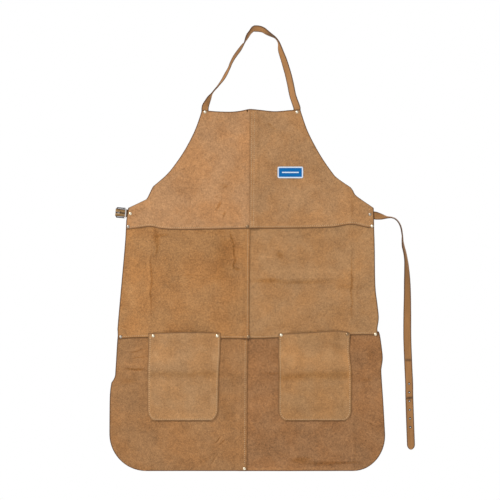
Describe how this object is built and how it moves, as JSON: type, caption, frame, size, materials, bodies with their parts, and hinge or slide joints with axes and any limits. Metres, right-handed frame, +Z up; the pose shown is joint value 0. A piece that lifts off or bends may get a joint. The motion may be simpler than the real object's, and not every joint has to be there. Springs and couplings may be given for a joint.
{
  "type": "welding apron",
  "caption": "Hanging split-leather welding apron with a lapped bib, waist and skirt, sewn pockets, riveted neck and waist straps and a pronged buckle.",
  "frame": {"origin": "middle of the neck strap's underside at its highest point, where it rests on the peg that the apron hangs from", "axes": "+Z up, +X to the right of someone who looks at the apron's front, +Y to its back; the front faces -Y"},
  "size_m": [0.7645, 0.026, 1.114],
  "materials": {
    "bib_leather": "split suede, matte, light tan",
    "waist_left_leather": "split suede, matte, orange tan",
    "waist_right_leather": "split suede, matte, mid tan",
    "skirt_leather": "split suede, matte, darker tan",
    "pocket_leather": "split suede, matte, light tan",
    "strap_leather": "smooth grain, satin, dark cut edges",
    "woven_label": "woven, blue with a silver-grey border, no lettering",
    "nickel": "nickel plate, bright",
    "buckle_metal": "nickel plate, slightly worn"
  },
  "bodies": {
    "neck_strap": {"neck_strap": "strap_leather"},
    "bib": {"bib_panel_left": "bib_leather", "bib_panel_right": "bib_leather", "label_patch": "woven_label", "neck_strap_end_left": "strap_leather", "neck_strap_end_right": "strap_leather", "neck_rivet_left": "nickel", "neck_rivet_right": "nickel", "waist_rivet_left": "nickel", "waist_rivet_centre": "nickel", "waist_rivet_right": "nickel"},
    "skirt": {"waist_panel_left": "waist_left_leather", "waist_panel_right": "waist_right_leather", "skirt_panel_left": "skirt_leather", "skirt_panel_right": "skirt_leather", "pocket_left": "pocket_leather", "pocket_right": "pocket_leather", "seam_rivet_left": "nickel", "seam_rivet_centre": "nickel", "seam_rivet_right": "nickel", "pocket_rivet_1": "nickel", "pocket_rivet_2": "nickel", "pocket_rivet_3": "nickel", "pocket_rivet_4": "nickel", "hem_rivet": "nickel"},
    "strap_end": {"waist_strap_end": "strap_leather", "strap_rivet": "nickel"},
    "waist_strap": {"waist_strap": "strap_leather"},
    "buckle_tab": {"buckle_tab": "strap_leather", "tab_rivet": "nickel"},
    "buckle": {"buckle_frame": "buckle_metal"},
    "prong": {"buckle_prong": "buckle_metal"}
  },
  "joints": [
    {"name": "apron_swing", "type": "hinge", "parent": "neck_strap", "child": "bib", "pos_m": [-0.014, 0.0018, -0.1996], "axis": [1, 0, 0], "range_deg": [-90, 90]},
    {"name": "skirt_fold", "type": "hinge", "parent": "bib", "child": "skirt", "pos_m": [-0.014, -0.00285, -0.5016], "axis": [-1, 0, 0], "range_deg": [-45, 120]},
    {"name": "strap_swivel", "type": "hinge", "parent": "bib", "child": "strap_end", "pos_m": [0.286, 0.0018, -0.4641], "axis": [0, 1, 0], "range_deg": [-90, 0]},
    {"name": "strap_wrap", "type": "hinge", "parent": "strap_end", "child": "waist_strap", "pos_m": [0.298, 0.0018, -0.4641], "axis": [0, 0, 1], "range_deg": [0, 100]},
    {"name": "tab_swivel", "type": "hinge", "parent": "bib", "child": "buckle_tab", "pos_m": [-0.313, 0.0018, -0.4621], "axis": [0, 1, 0], "range_deg": [-30, 30]},
    {"name": "buckle_swing", "type": "hinge", "parent": "buckle_tab", "child": "buckle", "pos_m": [-0.34737, 0.0027, -0.45909], "axis": [-0.0872, 0, -0.9962], "range_deg": [0, 165]},
    {"name": "prong_swing", "type": "hinge", "parent": "buckle", "child": "prong", "pos_m": [-0.34737, 0.0027, -0.45909], "axis": [0.0872, 0, 0.9962], "range_deg": [0, 83]}
  ],
  "couplings": [
    {"joint": "prong_swing", "follows": "buckle_swing", "ratio": 0.5}
  ]
}
